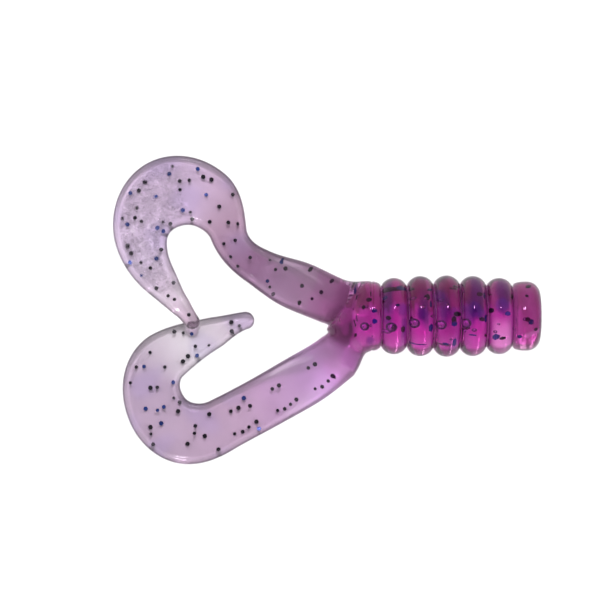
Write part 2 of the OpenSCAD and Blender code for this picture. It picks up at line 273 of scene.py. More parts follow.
def stationAt(tail, s):
    # Middle, heading, reach to each side, thickness and height at a distance s along the tail
    ends = tailLengths(tail)
    i = int(min(max(np.searchsorted(ends, s, "right") - 1, 0), len(tail["arcs"]) - 1))
    f = (s - ends[i]) / tail["arcs"][i][0]
    x, y, heading = nodeAt(tail, i)
    turn = tail["arcs"][i][1] * f
    half = math.radians(turn / 2)
    chord = tail["arcs"][i][0] * f * (math.sin(half) / half if abs(turn) > 1e-9 else 1)
    way = math.radians(heading + turn / 2)
    x, y, heading = x + chord * math.cos(way), y + chord * math.sin(way), heading + turn
    reaches = [tail["reach"]] + [a[2:] for a in tail["arcs"]]

    def reach(side):
        r0, r1 = reaches[max(i - 1, 0)][side], reaches[i][side]
        r2, r3 = reaches[i + 1][side], reaches[min(i + 2, len(reaches) - 1)][side]
        return 0.5 * (2 * r1 + (r2 - r0) * f + (2 * r0 - 5 * r1 + 4 * r2 - r3) * f * f
            + (3 * r1 - r0 - 3 * r2 + r3) * f ** 3)

    thick = ribbon["thickness"] + (ribbon["rootThickness"] - ribbon["thickness"]) \
        * math.exp(-s / ribbon["thinning"])
    sunk = ease(s / ribbon["sinking"])
    liftFrom = ends[-3]
    lift = tail["tipLift"] * ease((s - liftFrom) / tail["arcs"][-2][0])
    z = (1 - sunk) * -ribbon["rootDrop"] + sunk * (ribbon["floor"] + thick / 2) + lift
    return x, y, math.radians(heading), reach(0), reach(1), thick, z


def sectionRing(tail, s, shrink=1.0, forward=0.0, flatten=1.0):
    # One ring: top middle, outer edge, bottom middle, inner edge
    x, y, heading, left, right, thick, z = stationAt(tail, s)
    width, middle = left + right, (left - right) / 2
    width, thick = width * shrink, thick * flatten
    rounding = min(ribbon["edgeRound"] * min(width, thick), width / 2)
    quarter = around // 8
    f = np.arange(quarter) / quarter
    flat = width / 2 - rounding
    turn = np.arange(2 * quarter) / (2 * quarter) * math.pi
    u = np.concatenate([f * flat, flat + rounding * np.sin(turn), (1 - f) * flat])
    v = np.concatenate([np.ones(quarter), np.cos(turn), -np.ones(quarter)])
    u, v = np.concatenate([u, -u]), np.concatenate([v, -v])
    fromEdge = width / 2 - np.abs(u)
    wide = ease((width - 2.2 * ribbon["rimWidth"]) / 3) * ease((s - 3) / 8)
    web = 1 - ribbon["webThinning"] * wide * ease((fromEdge - 0.45) / ribbon["rimWidth"])
    across = middle + tail["outer"] * u
    nx, ny = -math.sin(heading), math.cos(heading)
    px = x + across * nx + forward * math.cos(heading)
    py = y + across * ny + forward * math.sin(heading)
    wave = ribbon["ripple"] * ease((s - 8) / 6) * (np.sin(px * 0.9 + py * 0.5) + np.sin(py * 1.1 - px * 0.3))
    pz = z + v * thick / 2 * web + wave * (v > -0.2) * 0.5 * wide * ease((fromEdge - 0.3) / 1)
    return np.stack([px, py, pz], -1), fromEdge


def tailRings(tail):
    total = tailLengths(tail)[-1]
    count = int(round(total / ribbon["ringSpacing"]))
    stations = [(k / count * total, 1.0, 0.0, 1.0) for k in range(count + 1)]
    left, right = tail["arcs"][-1][2:]
    for a in np.radians(np.arange(9, 89, 9)):  # the rounded end
        stations.append((total, math.cos(a), (left + right) / 2 * math.sin(a), 0.35 + 0.65 * math.cos(a)))
    rings, edges, along = [], [], []
    for s, shrink, forward, flatten in stations:
        ring, fromEdge = sectionRing(tail, s, shrink, forward, flatten)
        rings.append(ring)
        edges.append(fromEdge)
        along.append(s + forward)
    return rings, edges, along


# The fork, where the body's last ring parts into the two tails
fork = {
    "steps": 22,
    "crotch": (-29.9, -1.9, -1.2),
    "crotchPull": (-3.6, -0.3, 0),    # how far the saddle leans back from the ring
    "crotchHeights": (3.0, 2.6),      # how steeply it comes down above and below
    "bodyPull": 4.42,
    "tailPull": 4.8,
    "sidePull": 1.6,
    "smoothing": 26,
    "creaseX": -26.3, "creaseDepth": 0.22, "creaseWidth": 0.5,
    "swellX": -24.4, "swellHeight": 0.22,
}


def crotchCurve(branch):
    # From the branch ring's top, down round the crotch, to its bottom
    top, bottom = branch[0], branch[around // 2]
    apex, back = np.array(fork["crotch"]), np.array(fork["crotchPull"])
    above, below = fork["crotchHeights"]
    controls = [np.array([top, top + back, apex + [0, 0, above], apex]),
        np.array([apex, apex - [0, 0, below], bottom + back, bottom])]
    half = around // 4
    points = []
    for c in controls:
        for k in range(half):
            t = k / half
            points.append((1 - t) ** 3 * c[0] + 3 * t * (1 - t) ** 2 * c[1]
                + 3 * t * t * (1 - t) * c[2] + t ** 3 * c[3])
    return np.array(points[1:])


def hermite(p0, p1, t0, t1, steps):
    rings = []
    for k in range(1, steps):
        t = k / steps
        rings.append((2 * t ** 3 - 3 * t * t + 1) * p0 + (t ** 3 - 2 * t * t + t) * t0
            + (3 * t * t - 2 * t ** 3) * p1 + (t ** 3 - t * t) * t1)
    return rings


class Skin:
    # The whole moulding as one mesh, with what each point is told for its colour
    def __init__(self):
        self.points, self.facts, self.faces, self.zones = [], [], [], []

    def add(self, points, facts):
        first = sum(len(p) for p in self.points)
        self.points.append(np.asarray(points))
        self.facts.append(np.asarray(facts))
        return np.arange(first, first + len(points))

    def strip(self, a, b, zone, flip=False):
        for j in range(around):
            k = (j + 1) % around
            quad = (a[j], a[k], b[k], b[j])
            self.faces.append(quad[::-1] if flip else quad)
            self.zones.append(zone)

    def cap(self, ring, pole, zone, flip=False):
        for j in range(around):
            k = (j + 1) % around
            tri = (ring[j], ring[k], pole)
            self.faces.append(tri[::-1] if flip else tri)
            self.zones.append(zone)


def facts(kind, along, edge, count=around):
    # kind: 0 body, 1 left tail, 2 right tail; along: distance from the nose or down the tail
    return np.stack([np.full(count, float(kind)), np.broadcast_to(along, count),
        np.broadcast_to(edge, count)], -1)


# Where the skin is cut into pieces: along the body, then down each tail. A piece with no second body rides
# on its first.
bodyCuts = [
    ("headSkin", -9.42, "head", "second_rib", -7.58, ["nose", "rib_1"]),
    ("secondRibSkin", -13.1, "second_rib", "third_rib", -11.26, ["rib_2"]),
    ("thirdRibSkin", -16.78, "third_rib", "fourth_rib", -14.94, ["rib_3"]),
    ("fourthRibSkin", -20.46, "fourth_rib", "fifth_rib", -18.62, ["rib_4"]),
    ("collarSkin", branchX - 9, "fifth_rib", "rear", -22.3, ["rib_5", "collar"]),
]
leftCuts = [
    ("leftRootSkin", 2.8, "rear", "left_root_part", 0, ["left_root"]),
    ("leftStemSkin", 11.7, "left_root_part", "left_stem_part", 1, ["left_stem"]),
    ("leftWaistSkin", 23.3, "left_stem_part", "left_crown_part", 3, ["left_waist", "left_shoulder"]),
    ("leftCrownSkin", 34.0, "left_crown_part", "left_hook_part", 5, ["left_crown", "left_sweep"]),
    ("leftTipSkin", 99, "left_hook_part", "left_tip_part", 7, ["left_hook", "left_finger", "left_tip"]),
]
rightCuts = [
    ("rightRootSkin", 2.8, "rear", "right_root_part", 0, ["right_root"]),
    ("rightStemSkin", 12.7, "right_root_part", "right_stem_part", 1, ["right_stem"]),
    ("rightReachSkin", 24.8, "right_stem_part", "right_curl_part", 3, ["right_reach", "right_bend"]),
    ("rightCurlSkin", 40.0, "right_curl_part", None, 0, ["right_crown", "right_sweep"]),
    ("rightTipSkin", 99, "right_curl_part", "right_tip_part", 7, ["right_hook", "right_tip"]),
]


def buildSkin(material):
    skin = Skin()
    body = ringsOfBody(material)
    xs = body[:, 0, 0]
    print("body rings:", len(body), "from x", round(xs.max(), 2), "to", round(xs.min(), 2))

    def bodyZone(x):
        return next(c[0] for c in bodyCuts if x > c[1])

    pole = skin.add([[0, 0, 0]], facts(0, 0, farInside, 1))[0]
    inner = [body[0] * [1, f, f] for f in (0.3, 0.6, 0.85)]
    shapes = [*inner, *body]
    rings = [skin.add(ring, facts(0, -ring[0, 0], farInside)) for ring in shapes]
    skin.cap(rings[0][::-1], pole, "headSkin")
    for k in range(len(rings) - 1):
        middle = (shapes[k][0, 0] + shapes[k + 1][0, 0]) / 2
        skin.strip(rings[k], rings[k + 1], bodyZone(middle))
    branch = rings[-1]
    crotch = crotchCurve(body[-1])
    crotchIndex = skin.add(crotch, facts(0, 27, farInside, len(crotch)))
    half = around // 2
    leftLoop = np.concatenate([branch[:half + 1], crotchIndex[::-1]])
    rightLoop = np.concatenate([[branch[0]], branch[:half - 1:-1], crotchIndex[::-1]])
    smoothed = list(crotchIndex)
    for kind, tail, loop, cuts in ((1, leftTail, leftLoop, leftCuts), (2, rightTail, rightLoop, rightCuts)):
        points, edges, along = tailRings(tail)
        start = np.concatenate(skin.points)[loop]
        heading = math.radians(tail["start"][2])
        ahead = np.array([math.cos(heading), math.sin(heading), 0])
        # The arm leaves the body straight back, and leaves the saddle sideways
        backward, sideways = [-fork["bodyPull"], 0, 0], [0, -tail["outer"] * fork["sidePull"], 0]
        fromTop = np.arange(around - half - 1) + 1
        mix = ease(np.minimum(fromTop, fromTop[::-1]) / 14)[:, None]
        pull = np.tile(np.array(backward, float), (around, 1))
        pull[half + 1:] = (1 - mix) * backward + mix * sideways
        arms = hermite(start, points[0], pull, ahead * fork["tailPull"], fork["steps"])
        flip = kind == 2
        previous = loop
        for k, ring in enumerate(arms):
            index = skin.add(ring, facts(0, 24 + 5 * (k + 1) / fork["steps"], farInside))
            skin.strip(previous, index, "forkSkin", flip)
            smoothed += list(index)
            previous = index
        zone = "forkSkin"
        for ring, edge, s in zip(points, edges, along):
            index = skin.add(ring, facts(kind, s, edge))
            skin.strip(previous, index, zone, flip)
            zone = next(c[0] for c in cuts if s < c[1])
            previous = index
        end = skin.add([points[-1].mean(0)], facts(kind, along[-1], 0.2, 1))[0]
        skin.cap(previous, end, zone, flip)
        print("tail", kind, "rings:", len(points))
    allPoints = np.concatenate(skin.points)
    return skin, smoothSome(allPoints, skin.faces, smoothed), np.concatenate(skin.facts)


def creaseAt(y):
    # The crease behind the collar bows forwards towards the tails' outer sides
    return fork["creaseX"] + 0.06 * y * y


def smoothSome(points, faces, chosen):
    # Evens out the fork, leaving every other point where it is
    pairs = set()
    for face in faces:
        for a, b in zip(face, face[1:] + face[:1]):
            pairs.add((min(a, b), max(a, b)))
    pairs = np.array(sorted(pairs))
    count = np.zeros(len(points))
    np.add.at(count, pairs[:, 0], 1)
    np.add.at(count, pairs[:, 1], 1)
    free = np.zeros(len(points), bool)
    free[chosen] = True
    points = points.copy()
    for _ in range(fork["smoothing"]):
        total = np.zeros_like(points)
        np.add.at(total, pairs[:, 0], points[pairs[:, 1]])
        np.add.at(total, pairs[:, 1], points[pairs[:, 0]])
        points[free] = 0.45 * points[free] + 0.55 * (total / count[:, None])[free]
    # A crease round the back of the collar, fading out along the tails' outer sides
    x, y, z = points[free].T
    crease = np.exp(-((x - creaseAt(y)) / fork["creaseWidth"]) ** 2)
    crease *= fork["creaseDepth"] * ease((4.6 - np.abs(y)) / 1.5)
    swell = fork["swellHeight"] * np.exp(-((x - fork["swellX"]) / 1.1) ** 2) * ease(5.4 - np.abs(y))
    radius = np.maximum(np.hypot(y, z), 0.5)
    points[free, 1] = y + y / radius * (swell - crease)
    points[free, 2] = z + z / radius * (swell - crease)
    return points


def linear(rgb):
    c = np.asarray(rgb, float) / 255
    return np.where(c <= 0.04045, c / 12.92, ((c + 0.055) / 1.055) ** 2.4)


# What shows from above at each place. Light comes back up through at least two surfaces. The lit, bright and
# shaded colours are painted light and shade, and the groove, crotch and wall colours are painted shade.
bodyColours = {
    "lit": (222, 66, 204), "bright": (255, 200, 255), "shaded": (122, 36, 82), "mixed": (72, 30, 132),
    "grooves": (84, 12, 70), "nose": (142, 44, 112), "crotch": (70, 26, 58), "wallShade": (50, 34, 44),
    "wallFrom": (0.66, 0.46),  # steepness at which the dark edge starts, on the lower and upper side
    "through": 1.45,           # how many coloured surfaces the light passes
}
# Violet patches: distance from the nose, place across, size
mixedPatches = [(5.6, 1.4, 0.9), (9.5, 0.9, 0.9), (14.4, 2.8, 0.8), (16.8, 0.3, 0.7), (19.4, 0.9, 0.7),
    (12.2, 0.4, 0.6), (23.8, -3.4, 0.6), (8.4, 0.2, 0.6), (11.0, 1.0, 0.5), (21.4, -0.6, 0.5)]
# Down each tail: distance along it, colour
leftColours = [(0, (124, 62, 110)), (3, (128, 84, 122)), (7, (130, 94, 128)), (14, (138, 104, 134)),
    (20, (166, 138, 160)), (26, (184, 162, 188)), (38, (194, 176, 200)), (44, (190, 172, 190)),
    (50, (172, 138, 164))]
rightColours = [(0, (176, 112, 178)), (3, (180, 130, 192)), (8, (180, 142, 184)), (16, (176, 148, 174)),
    (26, (172, 150, 172)), (34, (170, 150, 172)), (42, (206, 198, 206)), (52, (186, 166, 186))]
# Edge colours and shares: painted shade on the upright edge and on the bead beside it, and a painted
# highlight line just inside
ribbonColours = {"wallShade": (34, 24, 32), "wallFrom": 0.92, "edgeShadeBand": 0.6, "line": 0.25, "patch": (152, 134, 182),
    "through": 2.15}


def plain(rgb, count):
    return np.tile(linear(rgb), (count, 1))


def mixTo(colour, target, share):
    return colour * (1 - share[:, None]) + np.asarray(target) * share[:, None]


def tailTint(kind, along, x, y):
    # The colour runs down each tail, with soft lilac patches
    tint = np.zeros((len(x), 3))
    for k, table in ((1, leftColours), (2, rightColours)):
        chosen = kind == k
        colours = np.array([linear(rgb) for _, rgb in table])
        for c in range(3):
            tint[chosen, c] = np.interp(along[chosen], [place for place, _ in table], colours[:, c])
    drift = np.sin(x * 0.55 + 0.8 * np.sin(y * 0.5)) * np.sin(y * 0.62 + 1.1 + 0.7 * np.sin(x * 0.4))
    return mixTo(tint, linear(ribbonColours["patch"]), 0.3 * ease(drift * 1.3) * ease((along - 12) / 6))


def bodyTint(x, y, z):
    # From the nose back: painted light below the middle line, painted shade in dark plum above it
    shade = {name: linear(rgb) for name, rgb in bodyColours.items() if name not in ("wallFrom", "through")}
    back = -x
    wobble = 0.5 * np.sin(back * 1.9) + 0.35 * np.sin(back * 4.3 + 1) + 0.25 * np.sin(back * 9.1 + z)
    rib = np.clip((back - ribbedBody["Nose Length"]) / ribbedBody["Rib Pitch"], 0, 6)
    inRib = np.abs(rib - np.floor(rib) - 0.5) * 2  # 0 on a crest, 1 in a groove
    firstRib = ease((1.7 - np.abs(back - 5.8)) / 0.5)
    glowBelow = ease((-y - 2.0 + 2.2 * firstRib) / 2) * ease((0.85 - inRib) / 0.5)
    # Painted light on the lower side, stronger on the first rib, and painted shade above a wavy middle line
    colour = shade["lit"] * (0.62 + 0.38 * np.sin(back * 0.55 + 2.2)[:, None] ** 2)
    colour = mixTo(colour, shade["bright"], (0.6 + 0.4 * firstRib) * glowBelow)
    colour = mixTo(colour, shade["shaded"], ease((y - 0.5 - wobble) / 0.9))
    # Painted sheen: the upper edge of each rib's crest is lighter
    colour = colour * (1 + 0.5 * ease((y - 3.2) / 1.2) * ease((0.7 - inRib) / 0.5))[:, None]
    for px, py, size in mixedPatches:
        near = np.hypot(back - px, (y - py) * 0.9) + 0.15 * wobble
        colour = mixTo(colour, shade["mixed"], 0.9 * ease((size + 0.3 - near) / 0.5))
    # Painted highlight: a bright streak on the lower side of the nose
    noseGlintStreak = ease(np.sin(y * 2.6 + back * 1.1) * 2 - 0.9) * ease((3 - back) / 1.5) * ease(-0.6 - y)
    colour = mixTo(colour, shade["nose"], 0.85 * ease((3.6 - back) / 1.2))
    colour = mixTo(colour, shade["bright"], 0.7 * noseGlintStreak)
    # Painted shade in the grooves between the ribs
    onRibs = (back > 3.4) & (back < 22.8)
    colour = mixTo(colour, shade["grooves"], 0.85 * ease((inRib - 0.74) / 0.22) * onRibs)
    # Painted shade: behind the collar the crotch is painted darkest, and it fades into each tail's first
    # colour
    behind = ease((creaseAt(y) + 0.4 - x) / 0.6)
    colour = mixTo(colour, shade["crotch"], behind)
    tailStart = mixTo(plain(rightColours[0][1], len(y)), linear(leftColours[0][1]), ease((y + 3.4) / 3))
    fromCrotch = np.abs(y + 1.4)
    return mixTo(colour, tailStart, behind * ease((fromCrotch - 1.3) / 2.2))


def tintOf(points, fact, normals):
    kind, along, edge = fact.T
    x, y, z = points.T
    onBody = kind == 0
    tint = np.where(onBody[:, None], bodyTint(x, y, z), tailTint(kind, along, x, y))
    # Painted shade: walls that stand upright are painted dark, for the dark edge they show from above
    roundBody = np.abs(z) / np.maximum(np.hypot(y, z), 0.3)
    roundPart = onBody & (x < -1.2) & (x > -25)
    flatness = np.where(roundPart, roundBody, np.abs(normals[:, 2]))
    start = np.where(onBody, np.where(y < 0, *bodyColours["wallFrom"]), ribbonColours["wallFrom"])
    upright = ease((start - flatness) / np.where(onBody, 0.14, 0.24))
    wallShade = mixTo(plain(bodyColours["wallShade"], len(y)), linear(ribbonColours["wallShade"]),
        (kind > 0) * ease(along / 10))
    tint = mixTo(tint, wallShade, 0.92 * upright)
    # Painted shade on the bead along each edge, and a painted highlight in a line just inside it
    onRibbon = (kind > 0) * ease((along - 2) / 4)
    edgeShadeBand = ease((0.6 - edge) / 0.25) * onRibbon
    line = ease((edge - 0.55) / 0.15) * ease((1.05 - edge) / 0.2) * onRibbon
    tint = tint * (1 - ribbonColours["edgeShadeBand"] * edgeShadeBand + ribbonColours["line"] * line)[:, None]
    towardsTails = ease((-x - 26.5) / 3) * 0.7
    surfaces = np.where(onBody, bodyColours["through"] + towardsTails, ribbonColours["through"])
    through = np.clip(tint, 0.0005, 1) ** (1 / surfaces)[:, None]
    return np.concatenate([through, np.ones((len(points), 1))], 1)


def newGroup(name, inputs, outputs):
    tree = bpy.data.node_groups.new(name, "ShaderNodeTree")
    for label, (kind, value) in inputs.items():
        socket = tree.interface.new_socket(label, in_out="INPUT", socket_type="NodeSocket" + kind)
        if value is not None:
            socket.default_value = value
    for label, kind in outputs.items():
        tree.interface.new_socket(label, in_out="OUTPUT", socket_type="NodeSocket" + kind)
    return tree, tree.nodes.new("NodeGroupInput"), tree.nodes.new("NodeGroupOutput")


# The crumpled part of the left curl: where it is, the painted shade along its folds and its painted glints
crumple = {
    "from": 24, "fadeIn": 5, "to": 46, "fadeOut": 6, "edgeMargin": 0.7, "edgeFade": 0.8,
    "foldSize": 1000, "foldSharpness": 16, "foldShade": 0.17,
    "speckSize": 900, "speckFrom": 0.57, "speckSharpness": 10, "speckGlint": 0.34,
    "bumpSize": 1500,
}


def buildCloudGroup():
    # Cloudy patches in the plastic, painted shade along the folds and painted glints where the skin
    # crinkles, and the skin's height
    tree, given, out = newGroup("cloudyPlastic",
        {"Colour": ("Color", (1, 1, 1, 1)), "Cloud Size": ("Float", 260.0),
            "Cloud Strength": ("Float", 0.12), "Dimple Size": ("Float", 900.0),
            "Crinkle": ("Float", 0.0)},
        {"Colour": "Color", "Height": "Float", "Haze": "Float"})
    place = addNode(tree, "ShaderNodeTexCoord").outputs["Object"]

    def noise(scale, detail, rough=0.5, warp=0.0):
        node = addNode(tree, "ShaderNodeTexNoise")
        node.inputs["Detail"].default_value = detail
        node.inputs["Roughness"].default_value = rough
        node.inputs["Distortion"].default_value = warp
        tree.links.new(place, node.inputs["Vector"])
        if isinstance(scale, (int, float)):
            node.inputs["Scale"].default_value = scale
        else:
            tree.links.new(scale, node.inputs["Scale"])
        return node.outputs["Fac"]

    cloud = noise(given.outputs["Cloud Size"], 3, 0.6, 0.4)
    level = maths(tree, "MULTIPLY", maths(tree, "SUBTRACT", cloud, 0.5), given.outputs["Cloud Strength"])
    # Painted shade: where the skin crinkles, a net of folds is painted darker
    fold = maths(tree, "ABSOLUTE", maths(tree, "SUBTRACT", noise(crumple["foldSize"], 3, 0.65, 1.2), 0.5))
    net = maths(tree, "SUBTRACT", 1, maths(tree, "MULTIPLY", fold, crumple["foldSharpness"], clamp=True))
    dark = maths(tree, "MULTIPLY", net,
        maths(tree, "MULTIPLY", given.outputs["Crinkle"], crumple["foldShade"]))
    # Painted glints: pale specks where the skin crinkles
    speck = maths(tree, "SUBTRACT", noise(crumple["speckSize"], 4, 0.7, 0.5), crumple["speckFrom"])
    speck = maths(tree, "MULTIPLY", speck, crumple["speckSharpness"], clamp=True)
    speck = maths(tree, "MULTIPLY", speck,
        maths(tree, "MULTIPLY", given.outputs["Crinkle"], crumple["speckGlint"]))
    bright = maths(tree, "SUBTRACT", maths(tree, "ADD", 1, maths(tree, "MULTIPLY", level, 2)), dark)
    bright = maths(tree, "ADD", bright, speck)
    mixed = addNode(tree, "ShaderNodeVectorMath", operation="SCALE")
    tree.links.new(given.outputs["Colour"], mixed.inputs[0])
    tree.links.new(bright, mixed.inputs["Scale"])
    tree.links.new(mixed.outputs[0], out.inputs["Colour"])
    dimple = noise(given.outputs["Dimple Size"], 2)
    crinkle = maths(tree, "POWER", noise(crumple["bumpSize"], 4, 0.75, 0.6), 1.5)
    height = maths(tree, "ADD", maths(tree, "MULTIPLY", dimple, 0.35),
        maths(tree, "MULTIPLY", maths(tree, "ADD", crinkle, net), given.outputs["Crinkle"]))
    tree.links.new(height, out.inputs["Height"])
    tree.links.new(noise(420, 3, 0.6), out.inputs["Haze"])
    return tree


def makePlastisol(name, cloudGroup, look):
    material = bpy.data.materials.new(name)
    material.use_nodes = True
    tree = material.node_tree
    tree.nodes.clear()
    out = addNode(tree, "ShaderNodeOutputMaterial")
    shader = addNode(tree, "ShaderNodeBsdfPrincipled")
    shader.inputs["IOR"].default_value = look["ior"]
    shader.inputs["Transmission Weight"].default_value = look["clearness"]
    shader.inputs["Metallic"].default_value = 0
    shader.inputs["Specular Tint"].default_value = (*look["shine"], 1)
    cloud = addNode(tree, "ShaderNodeGroup")
    cloud.node_tree = cloudGroup
    for label in ("Cloud Size", "Cloud Strength", "Dimple Size"):
        cloud.inputs[label].default_value = look[label]
    tint = addNode(tree, "ShaderNodeAttribute", attribute_name="tint")
    crinkle = addNode(tree, "ShaderNodeAttribute", attribute_name="crinkle")
    tree.links.new(tint.outputs["Color"], cloud.inputs["Colour"])
    tree.links.new(maths(tree, "MULTIPLY", crinkle.outputs["Fac"], look["crinkle"]), cloud.inputs["Crinkle"])
    tree.links.new(cloud.outputs["Colour"], shader.inputs["Base Color"])
    haze = maths(tree, "MULTIPLY", cloud.outputs["Haze"], look["haze"])
    tree.links.new(maths(tree, "ADD", look["roughness"], haze), shader.inputs["Roughness"])
    bump = addNode(tree, "ShaderNodeBump")
    bump.inputs["Strength"].default_value = look["bump"]
    bump.inputs["Distance"].default_value = look["bumpDepth"]
    tree.links.new(cloud.outputs["Height"], bump.inputs["Height"])
    tree.links.new(bump.outputs["Normal"], shader.inputs["Normal"])
    # Light passes down through the plastic and colours the surface under it
    clear = addNode(tree, "ShaderNodeBsdfTransparent")
    tree.links.new(cloud.outputs["Colour"], clear.inputs["Color"])
    path = addNode(tree, "ShaderNodeLightPath")
    mix = addNode(tree, "ShaderNodeMixShader")
    tree.links.new(path.outputs["Is Shadow Ray"], mix.inputs[0])
    tree.links.new(shader.outputs[0], mix.inputs[1])
    tree.links.new(clear.outputs[0], mix.inputs[2])
    tree.links.new(mix.outputs[0], out.inputs["Surface"])
    return material


def makeGlitter(name, cloudGroup, colour, sheen):
    material = bpy.data.materials.new(name)
    material.use_nodes = True
    tree = material.node_tree
    shader = tree.nodes["Principled BSDF"]
    shader.inputs["Metallic"].default_value = glitterLook["metal"]
    cloud = addNode(tree, "ShaderNodeGroup")
    cloud.node_tree = cloudGroup
    cloud.inputs["Colour"].default_value = (*colour, 1)
    for label in ("Cloud Size", "Cloud Strength", "Dimple Size"):
        cloud.inputs[label].default_value = glitterLook[label]
    tree.links.new(cloud.outputs["Colour"], shader.inputs["Base Color"])
    shader.inputs["Roughness"].default_value = sheen
    bump = addNode(tree, "ShaderNodeBump")
    bump.inputs["Strength"].default_value = glitterLook["bump"]
    bump.inputs["Distance"].default_value = glitterLook["bumpDepth"]
    tree.links.new(cloud.outputs["Height"], bump.inputs["Height"])
    tree.links.new(bump.outputs["Normal"], shader.inputs["Normal"])
    return material


plumLook = {
    "clearness": 1.0, "ior": 1.45,
    "roughness": 0.03, "haze": 0.06,
    "shine": (0.62, 0.26, 0.6),
    "bump": 0.5, "bumpDepth": 0.0001,
    "crinkle": 0.0,
    "Cloud Size": 300.0, "Cloud Strength": 0.16, "Dimple Size": 700.0,
}
mauveLook = {
    "clearness": 1.0, "ior": 1.45,
    "roughness": 0.05, "haze": 0.1,
    "shine": (0.8, 0.7, 0.8),
    "bump": 0.5, "bumpDepth": 0.0001,
    "crinkle": 2.0,  # only where the left curl is crumpled
    "Cloud Size": 240.0, "Cloud Strength": 0.07, "Dimple Size": 800.0,
}
glitterLook = {
    "black": (0.002, 0.0015, 0.006), "blackSheen": 0.3,
    "blue": (0.014, 0.05, 0.24), "blueSheen": 0.25,
    "metal": 0.3,
    "bump": 0.3, "bumpDepth": 0.00002,
    "Cloud Size": 1800.0, "Cloud Strength": 0.8, "Dimple Size": 6000.0,
}
cloudGroup = buildCloudGroup()
plumPlastic = makePlastisol("plumPlastic", cloudGroup, plumLook)
mauvePlastic = makePlastisol("mauvePlastic", cloudGroup, mauveLook)
blackGlitter = makeGlitter("blackGlitter", cloudGroup, glitterLook["black"], glitterLook["blackSheen"])
blueGlitter = makeGlitter("blueGlitter", cloudGroup, glitterLook["blue"], glitterLook["blueSheen"])
print("materials made")


# The skin, cut into a piece for each joint
skin, skinPoints, skinFacts = buildSkin(plumPlastic)
kinds, alongs, edges = skinFacts.T
leftCurl = (kinds == 1) * ease((alongs - crumple["from"]) / crumple["fadeIn"])
leftCurl = leftCurl * ease((crumple["to"] - alongs) / crumple["fadeOut"])
leftCurl = leftCurl * ease((edges - crumple["edgeMargin"]) / crumple["edgeFade"])
wholeMesh = bpy.data.meshes.new("wholeSkin")
wholeMesh.from_pydata((skinPoints * millimetre).tolist(), [], [[int(i) for i in f] for f in skin.faces])
wholeMesh.update()
wholeNormals = np.zeros(len(skinPoints) * 3)
wholeMesh.vertex_normals.foreach_get("vector", wholeNormals)
wholeNormals = wholeNormals.reshape(-1, 3)
tints = tintOf(skinPoints, skinFacts, wholeNormals)
print("skin:", len(skinPoints), "points,", len(skin.faces), "faces")


def cutPiece(name, material):
    faces = [f for f, z in zip(skin.faces, skin.zones) if z == name]
    used = np.unique(np.concatenate([np.asarray(f) for f in faces]))
    place = {int(v): k for k, v in enumerate(used)}
    mesh = bpy.data.meshes.new(name)
    local = [[place[int(i)] for i in f] for f in faces]
    mesh.from_pydata((skinPoints[used] * millimetre).tolist(), [], local)
    mesh.update()
    colour = mesh.attributes.new("tint", "FLOAT_COLOR", "POINT")
    colour.data.foreach_set("color", tints[used].ravel())
    rough = mesh.attributes.new("crinkle", "FLOAT", "POINT")
    rough.data.foreach_set("value", leftCurl[used].astype(np.float32))
    mesh.shade_smooth()
    mesh.normals_split_custom_set_from_vertices([tuple(n) for n in wholeNormals[used]])
    mesh.materials.append(material)
    piece = bpy.data.objects.new(name, mesh)
    bpy.context.scene.collection.objects.link(piece)
    return piece


for name, _, first, second, hingeX, nodes in bodyCuts:
    piece = cutPiece(name, plumPlastic)
    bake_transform(piece)
    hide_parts(*nodes)
piece = cutPiece("forkSkin", plumPlastic)
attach(piece, "rear")
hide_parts("fork")
for tail, cuts in ((leftTail, leftCuts), (rightTail, rightCuts)):
    for name, _, first, second, hinge, nodes in cuts:
        piece = cutPiece(name, plumPlastic if hinge == 0 and second else mauvePlastic)
        if second is None:
            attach(piece, first)
        else:
            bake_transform(piece)
        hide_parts(*nodes)
bpy.data.meshes.remove(wholeMesh)
print("skin cut into pieces")

for name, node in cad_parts.items():
    if "flakes" in name:
        glitter = blackGlitter if name.startswith("black") else blueGlitter
        if not node.material_slots:
            node.data.materials.append(glitter)
        for slot in node.material_slots:
            slot.material = glitter
print("glitter finished")


# Air bubbles caught in the plastic
bubbles = {"Smallest": 0.09, "Largest": 0.24}
bubbleGroups = [
    # name, body, count, seed, low corner, high corner
    ("headBubbles", "head", 6, 3, (-7, -3.4, 0.4), (-0.8, 1.4, 3.4)),
    ("secondRibBubbles", "second_rib", 4, 5, (-10.6, -3.2, 0.6), (-8.4, 2.4, 3.6)),
    ("thirdRibBubbles", "third_rib", 4, 8, (-14.3, -3.2, 0.6), (-12, 2.4, 3.6)),
    ("fourthRibBubbles", "fourth_rib", 4, 11, (-18, -3.2, 0.6), (-15.6, 2.4, 3.6)),
    ("fifthRibBubbles", "fifth_rib", 4, 14, (-21.6, -3.2, 0.6), (-19.4, 2.4, 3.4)),
    ("collarBubbles", "rear", 5, 18, (-25.6, -3, 0.4), (-23.2, 2.2, 3.2)),
]
largeBubble = {"Smallest": 0.62, "Largest": 0.63}
largeBubbles = [
    ("secondRibBubble", "second_rib", (-10.3, -0.9, 3.6)),
    ("thirdRibBubble", "third_rib", (-13.8, -1.1, 3.7)),
    ("fourthRibBubble", "fourth_rib", (-17.5, -0.9, 3.6)),
    ("fifthRibBubble", "fifth_rib", (-20.8, -1.4, 3.4)),
    ("collarBubble", "rear", (-24.5, -1.3, 3.2)),
]
airLook = {
    "clear": (0.86, 0.62, 0.95), "ior": 1.6, "roughness": 0.02,
    "rimShade": (0.012, 0.001, 0.04), "rimFrom": 0.06, "rimSharpness": 5,
    "Cloud Size": 2500.0, "Cloud Strength": 0.7,
}


